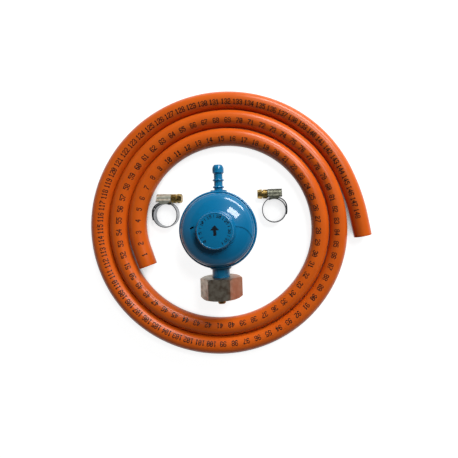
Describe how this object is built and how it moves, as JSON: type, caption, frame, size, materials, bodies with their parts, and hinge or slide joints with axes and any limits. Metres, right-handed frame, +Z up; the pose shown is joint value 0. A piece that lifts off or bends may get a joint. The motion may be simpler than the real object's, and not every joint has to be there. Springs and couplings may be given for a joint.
{
  "type": "propane regulator and hose kit",
  "caption": "Loose gas kit laid flat: domed low-pressure regulator with a barb and a union nut, a gas hose in a flat spiral and two worm-drive hose clamps.",
  "frame": {"origin": "centre of the regulator's back face, on the surface that the kit lies on", "axes": "+Y from the inlet to the outlet barb, +Z up out of the regulator's bonnet, +X to the right of the barb"},
  "size_m": [0.2378, 0.2225, 0.048],
  "materials": {
    "blue_paint": "gloss",
    "black_rubber": "matte",
    "orange_rubber": "satin",
    "textile": "woven",
    "bright_steel": "satin",
    "zinc": "zinc plated",
    "yellow_zinc": "yellow passivated",
    "brass": "machined"
  },
  "bodies": {
    "regulator": {"regulator_body": "blue_paint", "bonnet": "blue_paint", "bonnet_cap": "blue_paint", "diaphragm": "black_rubber", "main_spring": "bright_steel", "lever_pin": "bright_steel", "inlet_nipple": "brass", "inlet_seal": "black_rubber"},
    "adjuster": {"adjusting_screw": "brass"},
    "diaphragm_stack": {"diaphragm_plate": "bright_steel"},
    "lever": {"valve_lever": "bright_steel"},
    "poppet": {"valve_poppet": "brass", "valve_pad": "black_rubber"},
    "nut": {"union_nut": "zinc"},
    "hose": {"hose_inner_end": "orange_rubber", "hose_coil": "orange_rubber", "hose_outer_end": "orange_rubber", "hose_reinforcement": "textile", "hose_liner": "black_rubber"},
    "left_clamp": {"left_clamp_band": "bright_steel", "left_clamp_housing": "zinc"},
    "left_screw": {"left_clamp_screw": "yellow_zinc"},
    "right_clamp": {"right_clamp_band": "bright_steel", "right_clamp_housing": "zinc"},
    "right_screw": {"right_clamp_screw": "yellow_zinc"}
  },
  "joints": [
    {"name": "adjusting_screw_turn", "type": "hinge", "parent": "regulator", "child": "adjuster", "pos_m": [0, 0, 0.0418], "axis": [0, 0, 1], "range_deg": [-360, 360]},
    {"name": "diaphragm_lift", "type": "slide", "parent": "regulator", "child": "diaphragm_stack", "axis": [0, 0, 1], "range_m": [0, 0.0024], "deforming": ["main_spring", "diaphragm"]},
    {"name": "lever_rock", "type": "hinge", "parent": "regulator", "child": "lever", "pos_m": [0, -0.012, 0.012], "axis": [1, 0, 0], "range_deg": [0, 12]},
    {"name": "poppet_slide", "type": "slide", "parent": "regulator", "child": "poppet", "axis": [0, -1, 0], "range_m": [0, 0.00115]},
    {"name": "union_nut_turn", "type": "hinge", "parent": "regulator", "child": "nut", "pos_m": [0, -0.0475, 0.0175], "axis": [0, 1, 0], "continuous": true},
    {"name": "hose_lift", "type": "slide", "parent": "regulator", "child": "hose", "axis": [0, 0, 1], "range_m": [0, 0.15]},
    {"name": "left_clamp_lift", "type": "slide", "parent": "regulator", "child": "left_clamp", "axis": [0, 0, 1], "range_m": [0, 0.1]},
    {"name": "left_screw_turn", "type": "hinge", "parent": "left_clamp", "child": "left_screw", "pos_m": [-0.04701, 0.02704, 0.00571], "axis": [1, 0, 0], "continuous": true, "deforming": ["left_clamp_band"]},
    {"name": "right_clamp_lift", "type": "slide", "parent": "regulator", "child": "right_clamp", "axis": [0, 0, 1], "range_m": [0, 0.1]},
    {"name": "right_screw_turn", "type": "hinge", "parent": "right_clamp", "child": "right_screw", "pos_m": [0.04568, 0.02853, 0.00571], "axis": [-1, 0, 0], "continuous": true, "deforming": ["right_clamp_band"]}
  ],
  "couplings": [
    {"joint": "lever_rock", "follows": "diaphragm_lift", "rad_per_m": 83.333},
    {"joint": "poppet_slide", "follows": "diaphragm_lift", "ratio": 0.45833}
  ]
}
